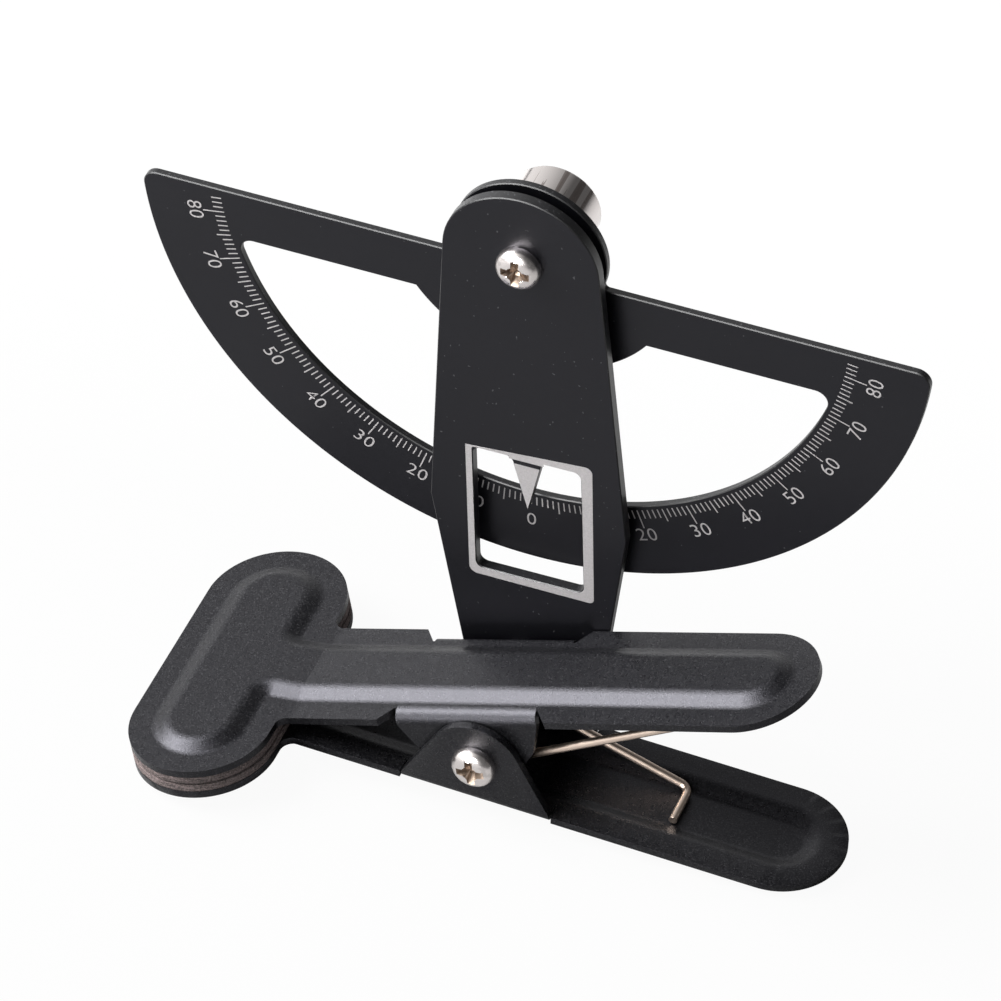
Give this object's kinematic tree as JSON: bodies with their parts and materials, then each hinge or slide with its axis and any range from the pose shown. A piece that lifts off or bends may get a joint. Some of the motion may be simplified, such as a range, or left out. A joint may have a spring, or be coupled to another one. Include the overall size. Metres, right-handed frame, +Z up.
{
  "type": "control surface throw gauge",
  "caption": "Spring clamp with T-shaped padded jaws that carries an upright with a window and pointer, and a free-swinging weighted half-round degree dial on ball bearings.",
  "frame": {"origin": "bottom centre of the gauge's box as it stands on the ground at rest: below the dial's pivot in X, the middle of the clamp in Y", "axes": "+Z up; +X from the T-shaped jaws to the handles, across the dial's width; +Y from the clamp to the dial, along both pivots"},
  "size_m": [0.0994, 0.0411, 0.0856],
  "materials": {
    "powder_coat": "textured powder coat",
    "grip_pad": "matt",
    "spring_wire": "bright, warm plated",
    "bush_plastic": "matt",
    "bright_nickel": "bright nickel",
    "zinc_steel": "zinc plated",
    "black_anodised": "black anodised, satin",
    "rivet_alloy": "satin",
    "barrel_nickel": "turned, bright nickel",
    "spacer_brass": "turned",
    "bearing_steel": "ground",
    "cage_brass": "matt"
  },
  "bodies": {
    "clamp": {"lower_jaw": "powder_coat", "lower_pad": "grip_pad", "torsion_spring": "spring_wire", "spring_bush": "bush_plastic", "clamp_screw": "bright_nickel", "clamp_washer": "zinc_steel", "clamp_nut": "zinc_steel", "clamp_nut_insert": "bush_plastic", "upright": "black_anodised", "upright_rivets": "rivet_alloy", "dial_screw": "bright_nickel", "front_spacer": "spacer_brass", "bearing_spacer": "spacer_brass", "dial_washer": "zinc_steel", "dial_nut": "zinc_steel", "front_inner_ring": "bearing_steel", "rear_inner_ring": "bearing_steel"},
    "upper_jaw": {"upper_jaw": "powder_coat", "upper_pad": "grip_pad"},
    "dial": {"dial_plate": "black_anodised", "dial_barrel": "barrel_nickel", "front_outer_ring": "bearing_steel", "rear_outer_ring": "bearing_steel", "front_balls": "bearing_steel", "rear_balls": "bearing_steel", "front_cage": "cage_brass", "rear_cage": "cage_brass"}
  },
  "joints": [
    {"name": "clamp_hinge", "type": "hinge", "parent": "clamp", "child": "upper_jaw", "pos_m": [0.0006, 0, 0.00904], "axis": [0, 1, 0], "range_deg": [0, 25], "stiffness_Nm_per_rad": 0.6, "springref_deg": -34.38, "deforming": ["torsion_spring"]},
    {"name": "dial_swing", "type": "hinge", "parent": "clamp", "child": "dial", "pos_m": [0, 0.012, 0.07575], "axis": [0, 1, 0], "continuous": true}
  ]
}
